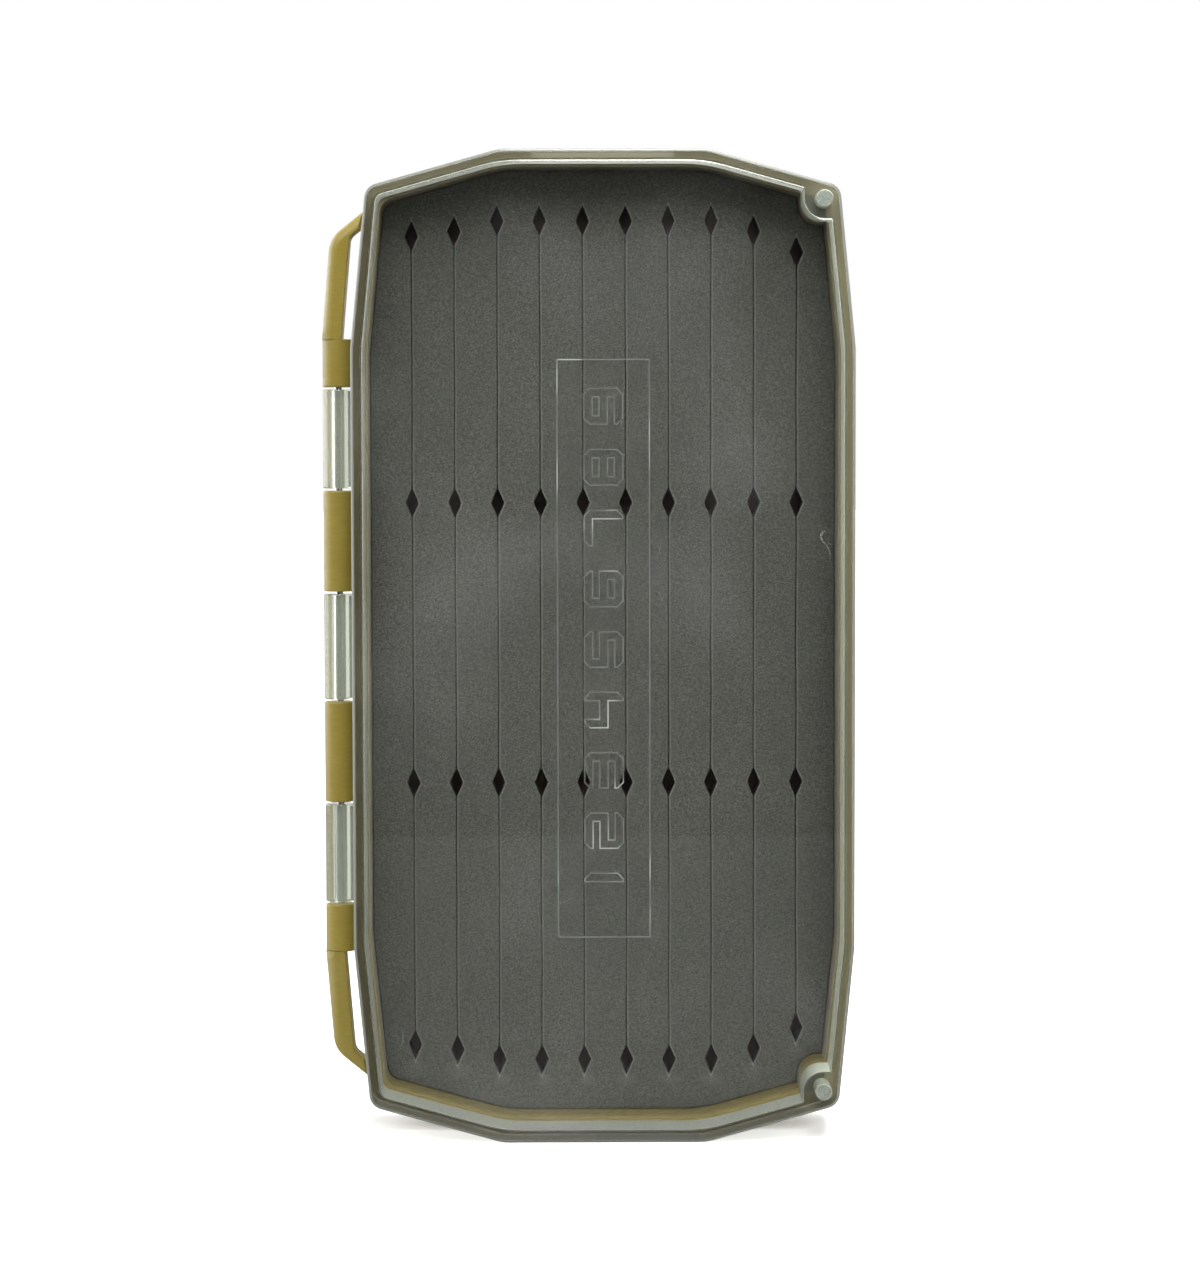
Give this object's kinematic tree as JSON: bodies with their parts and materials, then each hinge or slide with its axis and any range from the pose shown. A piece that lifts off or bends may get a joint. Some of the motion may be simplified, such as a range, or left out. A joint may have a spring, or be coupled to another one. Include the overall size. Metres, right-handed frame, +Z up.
{
  "type": "fly box",
  "caption": "Slim upright box for fishing flies: clear hinged lid over an olive tray with slit foam, magnet catches and lanyard loops.",
  "frame": {"origin": "middle of the bottom of the bounding box, on the short end that the box stands on", "axes": "+Z up along the box's long axis; -Y is the clear lid's face; the hinge is on the -X side"},
  "size_m": [0.1025, 0.031, 0.1905],
  "materials": {
    "olive_plastic": "satin moulded olive",
    "clear_plastic": "clear smoke grey, polished",
    "steel": "drawn wire",
    "foam": "fine grained closed-cell foam",
    "film": "dark adhesive film",
    "magnet": "nickel plate"
  },
  "bodies": {
    "base": {"base_shell": "olive_plastic", "hinge_pin": "steel", "foam_insert": "foam", "foam_film": "film", "base_magnet_upper": "magnet", "base_magnet_lower": "magnet"},
    "lid": {"lid_shell": "clear_plastic", "lid_magnet_upper": "magnet", "lid_magnet_lower": "magnet"}
  },
  "joints": [
    {"name": "lid_hinge", "type": "hinge", "parent": "base", "child": "lid", "pos_m": [-0.0483, -0.0023, 0.09525], "axis": [0, 0, -1], "range_deg": [0, 180]}
  ]
}
